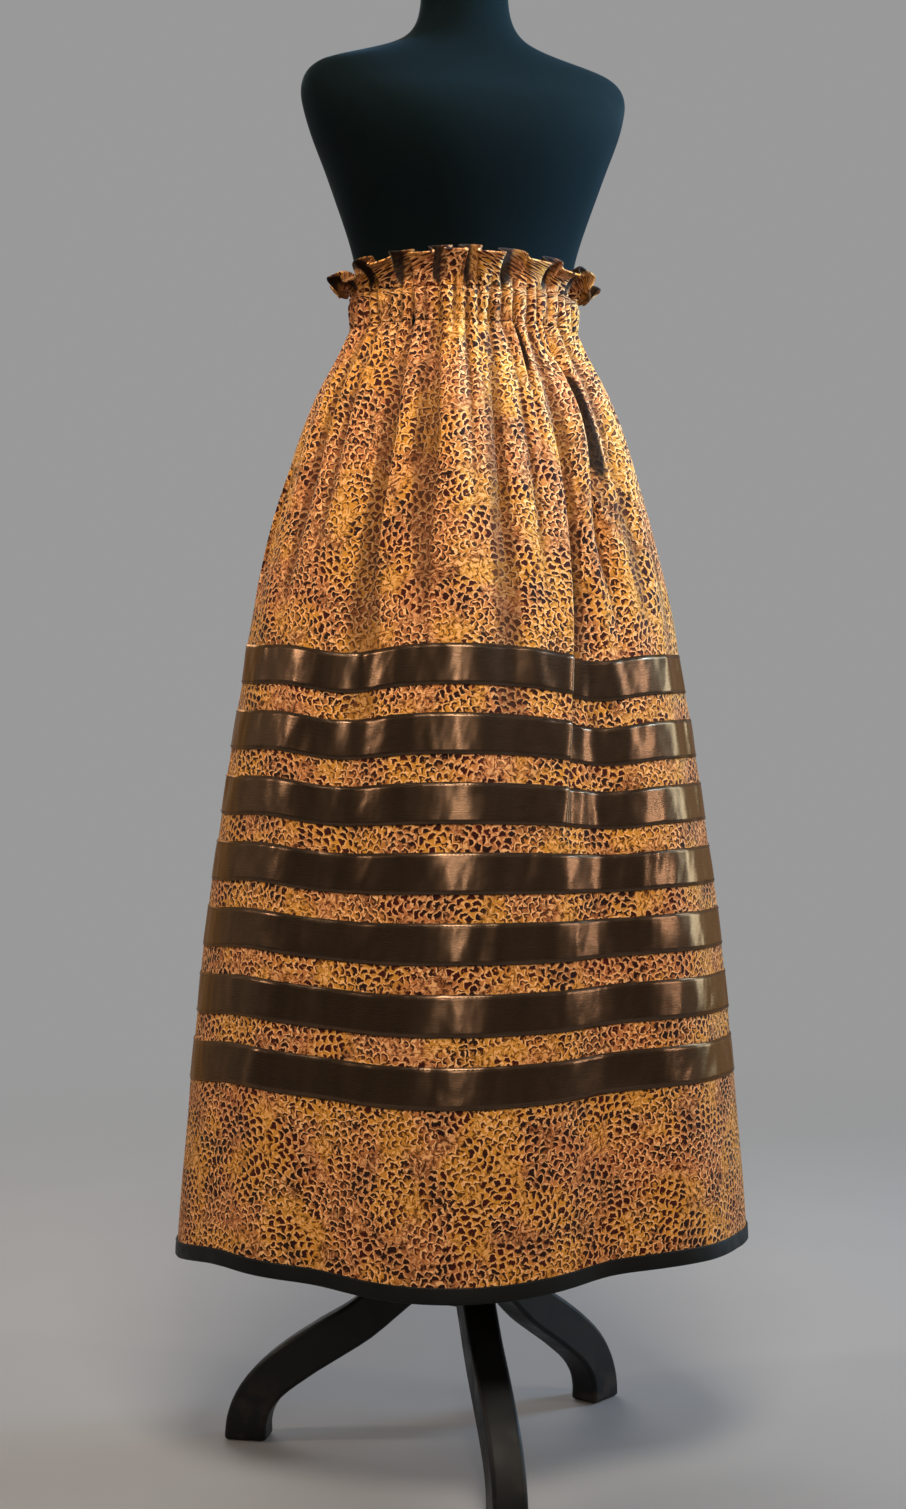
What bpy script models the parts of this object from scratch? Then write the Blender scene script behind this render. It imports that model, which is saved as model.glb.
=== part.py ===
"""A ribbon skirt with a gathered paper-bag waist, worn by a black limbless dress form on a three-legged stand.

Metres, +Z up. The floor is Z = 0, the pole of the stand is the Z axis, and the front of the skirt faces -Y.
A place on the cloth is a turn and a height: the turn is in degrees round the waist from the centre front,
growing towards +X, and the height is that of the cloth before its folds lift or lower it.
"""

import math
from collections import namedtuple

import bmesh
import bpy
import numpy as np
from mathutils import Matrix, Vector

MM = 0.001
COLLECTION = "ribbon_skirt"

# Cloth walls and the gaps between pieces
CLOTH = 1.6 * MM
FRILL_WALL = 1.8 * MM
RIBBON_WALL = 0.9 * MM
BINDING_WALL = 1.1 * MM
SEAM = 0.3 * MM
SIDE_SEAM = 0.7 * MM
ON_CLOTH = 0.45 * MM

# The skirt's cut: seven ribbons of 1 1/2 inch, an inch of print between them, and the print below them
RIBBONS = 7
RIBBON = 38.1 * MM
BETWEEN = 25.4 * MM
BINDING = 15.5 * MM
SLOPE = 0.992  # the share of the cloth's length that is height, over the ribbons
FIRST_RIBBON = 0.7835
HEM = 0.2015

# The waist: a casing over elastic, and the frill that stands above it
WAIST = 1.0920
CASING = 31.0 * MM
GATHERS = 52
GATHER_STEPS = 4
GATHER_RISE = 2.6 * MM
CASING_WALL = 4.2 * MM
FRILL = 36.0 * MM
FRILL_WAVES = 18
WAVE_STEPS = 8
FRILL_WAVE = 3.9
FRILL_LAP = 3.0
FRILL_DROP = 0.5 * MM  # how far the wall's lower edge tips below its middle line

# Columns round the skirt: many over the gathered hips, half of them from the first ribbon down
HIP_COLUMNS = 128
LOW_COLUMNS = HIP_COLUMNS // 2
HIP_ROWS = (1.068, 1.030, 0.980, 0.920, 0.858)

# The skirt's outline without folds. The form is turned on its stand, and the cloth follows it less and less
Section = namedtuple("Section", "height half_width front back yaw")
SECTIONS = (
    Section(1.0920, 0.1155, 0.0885, 0.0870, 16.0),
    Section(1.0680, 0.1275, 0.0980, 0.1000, 16.0),
    Section(1.0290, 0.1480, 0.1160, 0.1190, 15.0),
    Section(0.9850, 0.1655, 0.1300, 0.1330, 14.0),
    Section(0.9410, 0.1790, 0.1400, 0.1420, 13.0),
    Section(0.8820, 0.1950, 0.1490, 0.1510, 12.0),
    Section(0.8240, 0.2070, 0.1550, 0.1570, 10.0),
    Section(0.7650, 0.2155, 0.1600, 0.1620, 9.0),
    Section(0.6770, 0.2290, 0.1680, 0.1700, 8.0),
    Section(0.5890, 0.2410, 0.1750, 0.1770, 7.0),
    Section(0.4720, 0.2560, 0.1820, 0.1860, 7.0),
    Section(0.3550, 0.2675, 0.1880, 0.1930, 7.0),
    Section(0.2380, 0.2780, 0.1930, 0.1990, 7.0),
    Section(0.2015, 0.2805, 0.1940, 0.2010, 7.0),
)

# The folds, in millimetres out of the outline at five heights: a trough is below 0 and a ridge above
FOLD_HEIGHTS = (1.092, 0.965, 0.775, 0.480, 0.200)
Fold = namedtuple("Fold", "turn_top turn_hem width_top width_hem waist hip ribbon low hem")
FOLDS = (
    Fold(-84, -86, 4.5, 8.0, -2, -4, -2, 0, 0),
    Fold(-72, -72, 4.5, 8.0, -3, -6, -3, -1, 0),
    Fold(-54, -55, 4.0, 8.0, -4, -7, -4, -2, -2),
    Fold(-43, -41, 3.5, 7.0, -4, -6, -1, 3, 6),
    Fold(-31, -31, 3.5, 6.0, -3, -5, -2, 0, 0),
    Fold(-22, -27, 4.0, 7.0, -5, -9, -11, -8, -11),
    Fold(-12.6, -12.6, 3.0, 5.0, -4, -6, -1, 0, 0),
    Fold(-7, -7, 2.8, 5.0, -4, -7, -2, 0, 0),
    Fold(1, 1, 12.0, 14.0, 0, 3, 8, 14, 24),
    Fold(6, 6, 2.8, 5.0, -4, -4, 0, 0, 0),
    Fold(14, 14, 3.2, 5.0, -4, -8, -5, -2, 0),
    Fold(19.5, 19.5, 2.6, 4.0, -3, -1, 0, 0, 0),
    Fold(25, 25, 3.0, 5.0, -4, -7, -1, 0, 0),
    Fold(38, 32, 4.0, 7.0, -4, -9, -13, -10, -15),
    Fold(47.8, 47.8, 1.6, 5.0, -5, -17, -3, 0, 0),
    Fold(58, 56, 3.4, 7.0, -3, -4, 1, 3, 4),
    Fold(67, 62, 3.0, 6.0, 2, 5, 3, 1, 0),
    Fold(75, 74, 4.0, 8.0, -3, -5, -3, -2, -2),
    Fold(87, 88, 4.5, 8.0, -2, -4, -1, 0, 0),
    Fold(99, 100, 4.0, 8.0, -4, -6, -4, -3, -4),
    Fold(112, 115, 4.0, 8.0, -4, -7, -2, 2, 5),
    Fold(123, 122, 3.5, 7.0, -4, -8, -6, -5, -6),
    Fold(137, 140, 4.0, 10.0, -3, -6, 2, 6, 12),
    Fold(149, 152, 4.0, 7.0, -5, -9, -9, -8, -12),
    Fold(161, 160, 3.0, 6.0, -4, -6, -1, 0, 0),
    Fold(172, 178, 3.5, 12.0, -4, -5, 3, 12, 25),
    Fold(184, 184, 3.0, 6.0, -5, -8, -3, 0, 0),
    Fold(196, 200, 4.0, 7.0, -4, -8, -9, -8, -12),
    Fold(209, 208, 3.5, 7.0, -4, -6, -2, 0, 0),
    Fold(221, 222, 4.0, 10.0, -3, -5, 2, 5, 10),
    Fold(234, 236, 4.0, 7.0, -4, -8, -6, -4, -6),
    Fold(247, 248, 4.0, 8.0, -4, -6, -2, 1, 3),
    Fold(260, 259, 4.0, 8.0, -3, -5, -4, -3, -3),
)

# How far the cloth is lifted by its folds, in millimetres, at the same five heights
Lift = namedtuple("Lift", "turn width waist hip ribbon low hem")
LIFTS = (
    Lift(-90, 16.0, 0, 2, 6, 5, -2),
    Lift(-50, 16.0, 0, 0, 4, 12, 11),
    Lift(-29, 9.0, 0, -4, -7, 0, 0),
    Lift(0, 16.0, 0, 2, 4, 3, -3),
    Lift(38, 8.0, 0, -4, -8, 0, 0),
    Lift(50, 20.0, 0, 0, -5, 7, 10),
    Lift(90, 16.0, 0, -1, -3, 3, 6),
    Lift(150, 14.0, 0, -3, -6, 0, 0),
    Lift(180, 40.0, 0, 0, 2, 4, 2),
    Lift(222, 14.0, 0, -3, -6, 2, 3),
)

# The dress form, from the flat base under the hips to the flat top of the neck
Slice = namedtuple("Slice", "height half_width front back squareness")
FORM_COLUMNS = 40
FORM_YAW = 16.0
FORM_SLICES = (
    Slice(0.8000, 0.1250, 0.0900, 0.1000, 2.0),
    Slice(0.8080, 0.1400, 0.1000, 0.1100, 2.0),
    Slice(0.8600, 0.1500, 0.1060, 0.1180, 2.0),
    Slice(0.9250, 0.1540, 0.1060, 0.1210, 2.0),
    Slice(0.9850, 0.1420, 0.1010, 0.1080, 2.0),
    Slice(1.0350, 0.1210, 0.0920, 0.0930, 2.0),
    Slice(1.0700, 0.1085, 0.0830, 0.0830, 2.0),
    Slice(1.0900, 0.1060, 0.0790, 0.0790, 2.0),
    Slice(1.1250, 0.1060, 0.0790, 0.0790, 2.0),
    Slice(1.1500, 0.1068, 0.0800, 0.0792, 2.0),
    Slice(1.1800, 0.1140, 0.0890, 0.0820, 2.1),
    Slice(1.2200, 0.1270, 0.1040, 0.0880, 2.4),
    Slice(1.2500, 0.1370, 0.1130, 0.0920, 2.5),
    Slice(1.2780, 0.1490, 0.1150, 0.0960, 2.5),
    Slice(1.3000, 0.1560, 0.1040, 0.0970, 2.5),
    Slice(1.3180, 0.1615, 0.0830, 0.0930, 2.4),
    Slice(1.3320, 0.1600, 0.0690, 0.0840, 2.3),
    Slice(1.3430, 0.1510, 0.0590, 0.0740, 2.2),
    Slice(1.3500, 0.1320, 0.0530, 0.0660, 2.1),
    Slice(1.3580, 0.1020, 0.0480, 0.0590, 2.0),
    Slice(1.3660, 0.0760, 0.0440, 0.0530, 2.0),
    Slice(1.3760, 0.0560, 0.0410, 0.0470, 2.0),
    Slice(1.3950, 0.0440, 0.0385, 0.0430, 2.0),
    Slice(1.4250, 0.0420, 0.0375, 0.0415, 2.0),
    Slice(1.4550, 0.0420, 0.0380, 0.0420, 2.0),
)

# The stand: a pole in a turned hub, on three bowed legs sawn from board
POLE_RADIUS = 0.0150
HUB_RADIUS = 0.0320
HUB_NECK_RADIUS = 0.0210
HUB_TOP = 0.2450
HUB_SHOULDER = 0.2250
HUB_BOTTOM = 0.1460
HUB_CHAMFER = 0.0080
LEG_BOARD = 0.0320
LEG_YAWS = {"leg_front": 10.0, "leg_right_back": 141.0, "leg_left": -100.0}
LegPoint = namedtuple("LegPoint", "reach height half_depth")
LEG_LINE = (
    LegPoint(0.0323, 0.1830, 0.0200),
    LegPoint(0.0660, 0.1560, 0.0195),
    LegPoint(0.1027, 0.1245, 0.0200),
    LegPoint(0.1365, 0.1030, 0.0205),
    LegPoint(0.1684, 0.0815, 0.0205),
    LegPoint(0.1950, 0.0600, 0.0200),
    LegPoint(0.2110, 0.0390, 0.0198),
    LegPoint(0.2180, 0.0190, 0.0205),
    LegPoint(0.2190, 0.0000, 0.0215),
)
LEG_STEPS = 3

# Colours are linear RGB, then roughness
FINISHES = {
    "print_cotton": ((0.39, 0.20, 0.065), 0.85),
    "satin_ribbon": ((0.045, 0.029, 0.018), 0.32),
    "hem_binding": ((0.010, 0.011, 0.012), 0.60),
    "black_flock": ((0.008, 0.012, 0.011), 0.95),
    "black_wood": ((0.007, 0.008, 0.008), 0.45),
}


def through(stations, values, at):
    """The smooth curve through values at falling stations, read at a height."""
    stations = np.array(stations, float)[::-1]
    values = np.array(values, float)[::-1]
    slopes = np.gradient(values, stations)
    at = min(max(at, stations[0]), stations[-1])
    i = int(np.clip(np.searchsorted(stations, at) - 1, 0, len(stations) - 2))
    step = stations[i + 1] - stations[i]
    u = (at - stations[i]) / step
    start = (1 + 2 * u) * (1 - u) ** 2 * values[i] + u * (1 - u) ** 2 * step * slopes[i]
    end = u * u * (3 - 2 * u) * values[i + 1] + u * u * (u - 1) * step * slopes[i + 1]
    return float(start + end)


def bump(turn, middle, width):
    """1 at the middle of a fold, falling smoothly to 0 over about three widths on each side."""
    away = (turn - middle + 180.0) % 360.0 - 180.0
    return math.exp(-0.5 * (away / width) ** 2)


def skirt_outline(height):
    heights = [s.height for s in SECTIONS]
    return [through(heights, [s[i] for s in SECTIONS], height) for i in (1, 2, 3, 4)]


def fold_push(turn, height):
    """How far the folds push the cloth out at a place, in metres."""
    down = (WAIST - height) / (WAIST - HEM)
    push = 0.0
    for f in FOLDS:
        middle = f.turn_top + (f.turn_hem - f.turn_top) * down
        width = f.width_top + (f.width_hem - f.width_top) * down
        push += bump(turn, middle, width) * through(FOLD_HEIGHTS, f[4:], height)
    return push * MM


def fold_lift(turn, height):
    lifts = (bump(turn, f.turn, f.width) * through(FOLD_HEIGHTS, f[2:], height) for f in LIFTS)
    return sum(lifts) * MM


def ellipse_point(turn, half_width, front, back, yaw, out=0.0):
    """A point of an oval turned by a yaw, whose front and back depths differ, moved out square to its edge."""
    angle = math.radians(turn - yaw)
    depth = front if math.cos(angle) > 0 else back
    normal = Vector((math.sin(angle) / half_width, -math.cos(angle) / depth)).normalized()
    flat = Vector((half_width * math.sin(angle), -depth * math.cos(angle))) + normal * out
    flat.rotate(Matrix.Rotation(math.radians(yaw), 2))
    return flat


def cloth_point(turn, height):
    flat = ellipse_point(turn, *skirt_outline(height), fold_push(turn, height))
    return Vector((flat.x, flat.y, height + fold_lift(turn, height)))


def even_turns(count, start=0.0):
    return [start + 360.0 * i / count for i in range(count)]


def material(name):
    made = bpy.data.materials.get(name)
    if made:
        return made
    colour, roughness = FINISHES[name]
    made = bpy.data.materials.new(name)
    made.use_nodes = True
    shader = made.node_tree.nodes["Principled BSDF"]
    shader.inputs["Base Color"].default_value = (*colour, 1.0)
    shader.inputs["Roughness"].default_value = roughness
    shader.inputs["Metallic"].default_value = 0.0
    return made


def add_object(name, mesh, finish):
    made = bpy.data.objects.new(name, mesh)
    mesh.materials.append(material(finish))
    bpy.data.collections[COLLECTION].objects.link(made)
    return made


def loft(name, rings, finish, closed=True):
    """A surface through rings of points, the first ring on top. A ring may have half the columns of the one above."""
    made = bmesh.new()
    rows = [[made.verts.new(p) for p in ring] for ring in rings]
    for upper, lower in zip(rows, rows[1:]):
        ratio = 2 if len(upper) > len(lower) + 1 else 1
        steps = len(lower) if closed else len(lower) - 1
        for i in range(steps):
            a, b = lower[i], lower[(i + 1) % len(lower)]
            top = [upper[(ratio * i + k) % len(upper)] for k in range(ratio + 1)]
            if ratio == 1:
                made.faces.new((top[0], a, b, top[1]))
            else:
                made.faces.new((top[0], a, top[1]))
                made.faces.new((top[1], a, b))
                made.faces.new((top[1], b, top[2]))
    mesh = bpy.data.meshes.new(name)
    made.to_mesh(mesh)
    made.free()
    mesh.shade_smooth()
    return add_object(name, mesh, finish)


def thicken(shell, wall, side):
    """Gives an open surface its wall: side -1 keeps it as the outer face, and +1 as the inner one."""
    solid = shell.modifiers.new("wall", "SOLIDIFY")
    solid.thickness = wall
    solid.offset = side
    return shell


def ribbon_top(index):
    return FIRST_RIBBON - index * (RIBBON + BETWEEN) * SLOPE


def panel_rows():
    """Heights of the panel's rows: over the hips, in the middle of each band of print, and down to the hem."""
    half_gap = BETWEEN * SLOPE / 2
    low = [ribbon_top(i) + half_gap for i in range(RIBBONS + 1)]
    return [WAIST - SEAM, *HIP_ROWS], [*low, (low[-1] + HEM) / 2, HEM]


def panel(name, first_turn):
    """Half of the skirt, between its side seams."""
    hip_rows, low_rows = panel_rows()
    inset = math.copysign(SIDE_SEAM / 2, first_turn)
    rings = []
    for rows, columns in ((hip_rows, HIP_COLUMNS // 2), (low_rows, LOW_COLUMNS // 2)):
        for height in rows:
            ring = [cloth_point(first_turn + 180.0 * i / columns, height) for i in range(columns + 1)]
            ring[0].y += inset
            ring[-1].y += inset
            rings.append(ring)
    return thicken(loft(name, rings, "print_cotton", closed=False), CLOTH, -1)


def panel_ring(height):
    """The panel's own faceted surface at a height below the first ribbon: its points, and the way out of it."""
    rows = panel_rows()[1]
    i = max(k for k in range(len(rows) - 1) if rows[k] >= height)
    share = (rows[i] - height) / (rows[i] - rows[i + 1])
    turns = even_turns(LOW_COLUMNS, -90.0)
    upper = [cloth_point(t, rows[i]) for t in turns]
    lower = [cloth_point(t, rows[i + 1]) for t in turns]
    points = [u.lerp(v, share) for u, v in zip(upper, lower)]
    normals = []
    for k, point in enumerate(points):
        along = points[(k + 1) % len(points)] - points[k - 1]
        normals.append(along.cross(upper[k] - lower[k]).normalized())
    return points, normals


def ribbon(index):
    """One ribbon all round the skirt, made from the panel's points, moved out."""
    top = ribbon_top(index)
    rings = []
    for height in (top, top - RIBBON * SLOPE):
        points, normals = panel_ring(height)
        rings.append([p + n * ON_CLOTH for p, n in zip(points, normals)])
    return thicken(loft(f"ribbon_{index + 1}", rings, "satin_ribbon"), RIBBON_WALL, 1)


def hem_binding():
    """A folded strip over the hem: a channel with a leg outside the panel, a leg inside it and a fold below."""
    gap, wall = ON_CLOTH, BINDING_WALL
    edge, edge_out = panel_ring(HEM)
    top, top_out = panel_ring(HEM + BINDING - gap - wall)
    sides = (
        (top, top_out, gap, 0.0),
        (top, top_out, gap + wall, 0.0),
        (edge, edge_out, gap + wall, gap + wall),
        (edge, edge_out, -CLOTH - gap - wall, gap + wall),
        (top, top_out, -CLOTH - gap - wall, 0.0),
        (top, top_out, -CLOTH - gap, 0.0),
        (edge, edge_out, -CLOTH - gap, gap),
        (edge, edge_out, gap, gap),
    )
    rings = []
    for points, normals, out, down in (*sides, sides[0]):
        rings.append([p + n * out - Vector((0, 0, down)) for p, n in zip(points, normals)])
    made = loft("hem_binding", rings, "hem_binding")
    weld = made.modifiers.new("close", "WELD")
    weld.merge_threshold = 0.00001
    return made


def waist_sizes():
    """The half-width, front and back of the form's straight waist, which carries the casing."""
    return next(part[1:4] for part in FORM_SLICES if part.height > WAIST)


def casing():
    """The gathered tube of cloth over the elastic: plain against the form, in small upright gathers outside."""
    columns = GATHERS * GATHER_STEPS
    inner = (*(size + SEAM for size in waist_sizes()), FORM_YAW)
    middle = WAIST + CASING / 2
    outside = []
    for height, swell in ((WAIST + CASING, 0.0), (middle, 0.9 * MM), (WAIST, 0.0)):
        ring = []
        for i, turn in enumerate(even_turns(columns)):
            phase = 2 * math.pi * i / GATHER_STEPS
            uneven = 0.75 + 0.25 * math.sin(5 * math.radians(turn) + 0.7)
            rise = GATHER_RISE * uneven * (0.5 + 0.5 * math.cos(phase))
            flat = ellipse_point(turn, *inner, CASING_WALL + swell + rise)
            ring.append(Vector((flat.x, flat.y, height)))
        outside.append(ring)
    inside = []
    for height in (WAIST, WAIST + CASING):
        flats = [ellipse_point(t, *inner) for t in even_turns(columns)]
        inside.append([Vector((p.x, p.y, height)) for p in flats])
    made = loft("waist_casing", [*outside, *inside, outside[0]], "print_cotton")
    weld = made.modifiers.new("close", "WELD")
    weld.merge_threshold = 0.00001
    return made


def frill_curl(turn):
    """How far the frill has bent outwards at its free edge, in degrees: it stands in front and flops at the sides."""
    side = abs(math.sin(math.radians(turn - FORM_YAW / 2)))
    upright = 28.0 if math.cos(math.radians(turn)) > 0 else 36.0
    return upright + (74.0 - upright) * side**3


def frill_point(turn, up):
    """A place on the frill: up is 0 at its seam and 1 at its free edge."""
    angle = math.radians(turn)
    curl = math.radians(frill_curl(turn))
    side = math.sin(angle) ** 2
    length = FRILL * (1 - 0.12 * side) * (1 + 0.05 * math.sin(5 * angle + 1.0))
    phase = FRILL_WAVES * angle + 0.9 * math.sin(3 * angle + 0.4) + 0.6 * math.sin(7 * angle)
    wave = FRILL_WAVE * up * MM * (0.45 + math.cos(phase)) * (0.85 + 0.15 * math.sin(4 * angle))
    lap = FRILL_LAP * MM * up * math.sin(2 * phase)
    out = length / curl * (1 - math.cos(curl * up)) + wave * math.cos(curl * up)
    rise = length / curl * math.sin(curl * up) - wave * up * math.sin(curl * up)
    base = [size + CASING_WALL / 2 for size in waist_sizes()]
    flat = ellipse_point(turn + math.degrees(lap / base[0]), *base, FORM_YAW, out)
    return Vector((flat.x, flat.y, WAIST + CASING + SEAM + FRILL_DROP + rise))


def frill():
    columns = FRILL_WAVES * WAVE_STEPS
    rings = [[frill_point(t, up) for t in even_turns(columns)] for up in (1.0, 0.68, 0.34, 0.0)]
    return thicken(loft("waist_frill", rings, "print_cotton"), FRILL_WALL, 0)


def rounded_point(turn, part):
    """A point of a form's slice: an oval, or a squarer one where squareness is above 2."""
    angle = math.radians(turn)
    depth = part.front if math.cos(angle) > 0 else part.back
    power = 2.0 / part.squareness
    x = math.copysign(abs(math.sin(angle)) ** power, math.sin(angle)) * part.half_width
    y = math.copysign(abs(math.cos(angle)) ** power, -math.cos(angle)) * depth
    return Matrix.Rotation(math.radians(FORM_YAW), 3, "Z") @ Vector((x, y, part.height))


def dress_form():
    """The hollowless black torso, from the base under its hips to the flat top of its neck."""
    rings = [[rounded_point(t, part) for t in even_turns(FORM_COLUMNS)] for part in reversed(FORM_SLICES)]
    made = loft("dress_form", rings, "black_flock")
    ends = bmesh.new()
    ends.from_mesh(made.data)
    bmesh.ops.holes_fill(ends, edges=ends.edges, sides=0)
    bmesh.ops.recalc_face_normals(ends, faces=ends.faces)
    ends.to_mesh(made.data)
    ends.free()
    made.data.set_sharp_from_angle(angle=math.radians(50))
    return made


def pole():
    """The round pole from the hub up to the base of the form."""
    low, high = HUB_TOP + SEAM, FORM_SLICES[0].height - SEAM
    made = bmesh.new()
    bmesh.ops.create_cone(
        made, cap_ends=True, segments=24, radius1=POLE_RADIUS, radius2=POLE_RADIUS, depth=high - low
    )
    mesh = bpy.data.meshes.new("pole")
    made.to_mesh(mesh)
    made.free()
    made = add_object("pole", mesh, "black_wood")
    made.location.z = (low + high) / 2
    mesh.shade_smooth()
    mesh.set_sharp_from_angle(angle=math.radians(40))
    return made


def hub():
    """The turned block that the legs are let into: a profile down its outer side, spun round the pole's axis."""
    profile = (
        (0.0, HUB_TOP),
        (HUB_NECK_RADIUS, HUB_TOP),
        (HUB_NECK_RADIUS, HUB_SHOULDER + HUB_CHAMFER),
        (HUB_RADIUS, HUB_SHOULDER),
        (HUB_RADIUS, HUB_BOTTOM + HUB_CHAMFER),
        (HUB_RADIUS - HUB_CHAMFER, HUB_BOTTOM),
        (0.0, HUB_BOTTOM),
    )
    mesh = bpy.data.meshes.new("hub")
    mesh.from_pydata([(r, 0.0, z) for r, z in profile], [(i, i + 1) for i in range(len(profile) - 1)], [])
    made = add_object("hub", mesh, "black_wood")
    turned = made.modifiers.new("turned", "SCREW")
    turned.steps = turned.render_steps = 32
    turned.use_merge_vertices = True
    turned.merge_threshold = 0.00005
    turned.use_smooth_shade = True
    return made


def leg_outline():
    """The sawn edge of a leg in its own plane: out along its upper side, and back along the lower one."""
    count = len(LEG_LINE)
    steps = [i / LEG_STEPS for i in range((count - 1) * LEG_STEPS + 1)]
    stations = [-i for i in range(count)]
    line = [[through(stations, [p[k] for p in LEG_LINE], -s) for k in range(3)] for s in steps]
    upper, lower = [], []
    for i, (reach, height, half) in enumerate(line):
        before, after = line[max(i - 1, 0)], line[min(i + 1, len(line) - 1)]
        along = Vector((after[0] - before[0], after[1] - before[1])).normalized()
        if i == 0:
            along = Vector((1.0, 0.0))
        elif i == len(line) - 1:
            along = Vector((0.0, -1.0))
        across = Vector((-along.y, along.x)) * half
        middle = Vector((reach, height))
        upper.append(middle + across)
        lower.append(middle - across)
        lower[-1].x = max(lower[-1].x, LEG_LINE[0].reach)
    return upper + lower[::-1]


def leg(name, yaw):
    """A bowed leg: its flat outline, extruded to the board's thickness and turned to its place round the hub."""
    flat = bpy.data.curves.new(name, "CURVE")
    flat.dimensions = "2D"
    flat.fill_mode = "BOTH"
    flat.extrude = LEG_BOARD / 2
    points = leg_outline()
    spline = flat.splines.new("POLY")
    spline.points.add(len(points) - 1)
    for place, point in zip(spline.points, points):
        place.co = (point.x, point.y, 0.0, 1.0)
    spline.use_cyclic_u = True
    made = add_object(name, flat, "black_wood")
    upright = Matrix.Rotation(math.radians(90), 4, "X")
    made.matrix_world = Matrix.Rotation(math.radians(yaw - 90), 4, "Z") @ upright
    return made


def clear_scene():
    for old in list(bpy.data.objects):
        bpy.data.objects.remove(old)
    home = bpy.data.collections.new(COLLECTION)
    bpy.context.scene.collection.children.link(home)


def main():
    clear_scene()
    panel("skirt_front", -90.0)
    panel("skirt_back", 90.0)
    for index in range(RIBBONS):
        ribbon(index)
    hem_binding()
    casing()
    frill()
    dress_form()
    pole()
    hub()
    for name, yaw in LEG_YAWS.items():
        leg(name, yaw)


main()
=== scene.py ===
"""The finished look of a ribbon skirt with a frilled waist, worn by a black dress form on a tripod stand.

Metres, +Z up, the front of the skirt faces -Y. A place on the cloth is a turn and a height: the turn is in
degrees round the waist from the centre front, growing towards +X, and the height is that before the folds.
"""

import math
from collections import namedtuple
from functools import partial

import bmesh
import bpy
import numpy as np
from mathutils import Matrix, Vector


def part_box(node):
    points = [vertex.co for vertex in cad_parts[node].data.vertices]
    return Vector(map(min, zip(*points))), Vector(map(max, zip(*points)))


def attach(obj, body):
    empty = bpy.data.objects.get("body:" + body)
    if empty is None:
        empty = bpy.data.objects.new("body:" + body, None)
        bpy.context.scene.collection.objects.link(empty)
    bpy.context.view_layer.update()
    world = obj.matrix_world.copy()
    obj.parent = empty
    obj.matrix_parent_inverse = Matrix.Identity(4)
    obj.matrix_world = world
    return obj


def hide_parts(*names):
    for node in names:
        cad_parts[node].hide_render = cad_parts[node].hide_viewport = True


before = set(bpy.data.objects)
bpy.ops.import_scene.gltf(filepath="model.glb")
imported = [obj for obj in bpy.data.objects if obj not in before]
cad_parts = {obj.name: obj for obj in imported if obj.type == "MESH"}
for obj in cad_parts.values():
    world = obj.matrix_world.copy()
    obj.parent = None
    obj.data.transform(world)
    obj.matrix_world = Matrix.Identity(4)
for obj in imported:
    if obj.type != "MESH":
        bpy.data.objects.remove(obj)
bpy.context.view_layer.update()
BODY = "root"
MM = 0.001

# The photograph's view, whose frame is 906 by 1509 pixels
FRAME_W, FRAME_H = 906, 1509
FOCAL_PIXELS = 2310.0
AXIS_PIXEL = 464.5
HORIZON_PIXEL = 706.0
CAMERA_DISTANCE = 2.256
CAMERA_HEIGHT = 0.730
SENSOR = 36.0

# The skirt's cut
RIBBONS = 7
RIBBON = 38.1 * MM
BETWEEN = 25.4 * MM
BINDING = 15.5 * MM
SLOPE = 0.992
FIRST_RIBBON = 0.7835
HEM = 0.2015
WAIST = 1.0920
CASING = 31.0 * MM
GATHERS = 52
FRILL = 36.0 * MM
FRILL_WAVES = 18
FRILL_WAVE = 8.6
FRILL_LAP = 6.4
FRILL_SEAT = 0.8 * MM
CASING_WALL = 4.2 * MM

# Lengths of the flat cut all round, before anything is gathered
FLAT_HEM = 1.60
FLAT_RIBBON = 1.45

# Cloth walls and how far each layer lies off the one below
CLOTH = 1.5 * MM
CASING_CLOTH = 1.8 * MM
FRILL_WALL = 1.6 * MM
RIBBON_WALL = 0.4 * MM
BINDING_WALL = 1.1 * MM
ON_CLOTH = 0.4 * MM
SIDE_SEAM = 0.7 * MM

# The skirt's outline without folds. The form is turned on its stand, and the cloth follows it less and less
Section = namedtuple("Section", "height half_width front back yaw")
SECTIONS = (
    Section(1.0920, 0.1155, 0.0885, 0.0870, 16.0),
    Section(1.0680, 0.1275, 0.0980, 0.1000, 16.0),
    Section(1.0290, 0.1480, 0.1160, 0.1190, 15.0),
    Section(0.9850, 0.1655, 0.1300, 0.1330, 14.0),
    Section(0.9410, 0.1790, 0.1400, 0.1420, 13.0),
    Section(0.8820, 0.1950, 0.1490, 0.1510, 12.0),
    Section(0.8240, 0.2070, 0.1550, 0.1570, 10.0),
    Section(0.7650, 0.2155, 0.1600, 0.1620, 9.0),
    Section(0.6770, 0.2290, 0.1680, 0.1700, 8.0),
    Section(0.5890, 0.2410, 0.1750, 0.1770, 7.0),
    Section(0.4720, 0.2560, 0.1820, 0.1860, 7.0),
    Section(0.3550, 0.2675, 0.1880, 0.1930, 7.0),
    Section(0.2380, 0.2780, 0.1930, 0.1990, 7.0),
    Section(0.2015, 0.2805, 0.1940, 0.2010, 7.0),
)

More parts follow.
